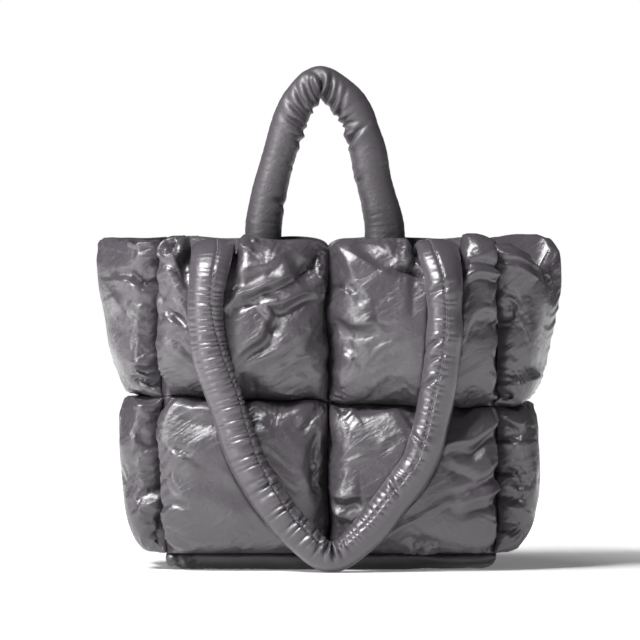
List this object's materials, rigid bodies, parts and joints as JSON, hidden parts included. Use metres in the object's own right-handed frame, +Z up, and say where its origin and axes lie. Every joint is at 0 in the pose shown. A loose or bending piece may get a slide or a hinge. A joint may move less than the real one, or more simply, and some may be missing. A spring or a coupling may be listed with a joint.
{
  "type": "puffer tote bag",
  "caption": "Open-topped quilted tote bag of padded glossy cloth squares, with a long padded tube strap and a short padded tube handle.",
  "frame": {"origin": "middle of the bag's footprint box, on the surface that it stands on", "axes": "+Z up towards the handle, +X to the right as the front is seen, -Y towards the front with the long strap"},
  "size_m": [0.4574, 0.2344, 0.5046],
  "materials": {
    "outer_cloth": "glossy coated nylon over padding",
    "strap_cloth": "glossy coated nylon, gathered along one stitched seam",
    "lining_cloth": "matt woven lining"
  },
  "bodies": {
    "root": {"front_upper_left_puff": "outer_cloth", "front_upper_right_puff": "outer_cloth", "front_lower_left_puff": "outer_cloth", "front_lower_right_puff": "outer_cloth", "back_upper_left_puff": "outer_cloth", "back_upper_right_puff": "outer_cloth", "back_lower_left_puff": "outer_cloth", "back_lower_right_puff": "outer_cloth", "left_gusset_upper_puff": "outer_cloth", "left_gusset_lower_puff": "outer_cloth", "right_gusset_upper_puff": "outer_cloth", "right_gusset_lower_puff": "outer_cloth", "base_puff": "outer_cloth", "lining": "lining_cloth", "front_strap": "strap_cloth", "back_handle": "strap_cloth"}
  },
  "joints": []
}
